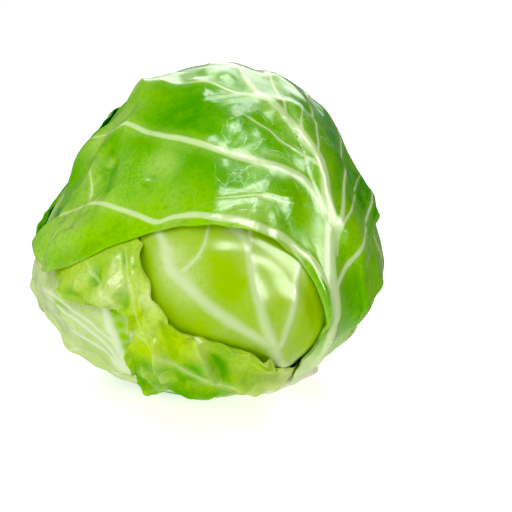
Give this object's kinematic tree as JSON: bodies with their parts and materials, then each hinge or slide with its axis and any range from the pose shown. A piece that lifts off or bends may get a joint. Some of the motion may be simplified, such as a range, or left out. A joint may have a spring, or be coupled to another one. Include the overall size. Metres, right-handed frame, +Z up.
{
  "type": "cabbage head",
  "caption": "Whole round green cabbage head, as cut: broad veined leaves wrapped over a dense heart on a short cut core.",
  "frame": {"origin": "middle of the underside of the box round the head, on the surface it rests on", "axes": "+Z up, -Y the front, where the picture was taken from, +X to the right; the cut core points down to the front right"},
  "size_m": [0.202, 0.2134, 0.1821],
  "materials": {
    "core": "moist cut core, off-white with a pale green rind",
    "heart": "waxy pale yellow-green inner leaves",
    "inner_leaf": "smooth waxy yellow-green leaf with broad pale veins",
    "green_leaf": "glossy waxy green leaf with pale raised midrib and side veins",
    "pale_leaf": "waxy very pale green leaf with a white midrib",
    "yellow_leaf": "thin waxy yellow-green leaf with a ruffled edge"
  },
  "bodies": {
    "root": {"core": "core", "heart": "heart", "leaf_front": "inner_leaf", "leaf_back": "green_leaf", "leaf_right": "green_leaf", "leaf_under": "pale_leaf", "leaf_low_left": "pale_leaf", "leaf_ruffled": "yellow_leaf", "leaf_top": "green_leaf", "leaf_behind": "green_leaf"}
  },
  "joints": []
}
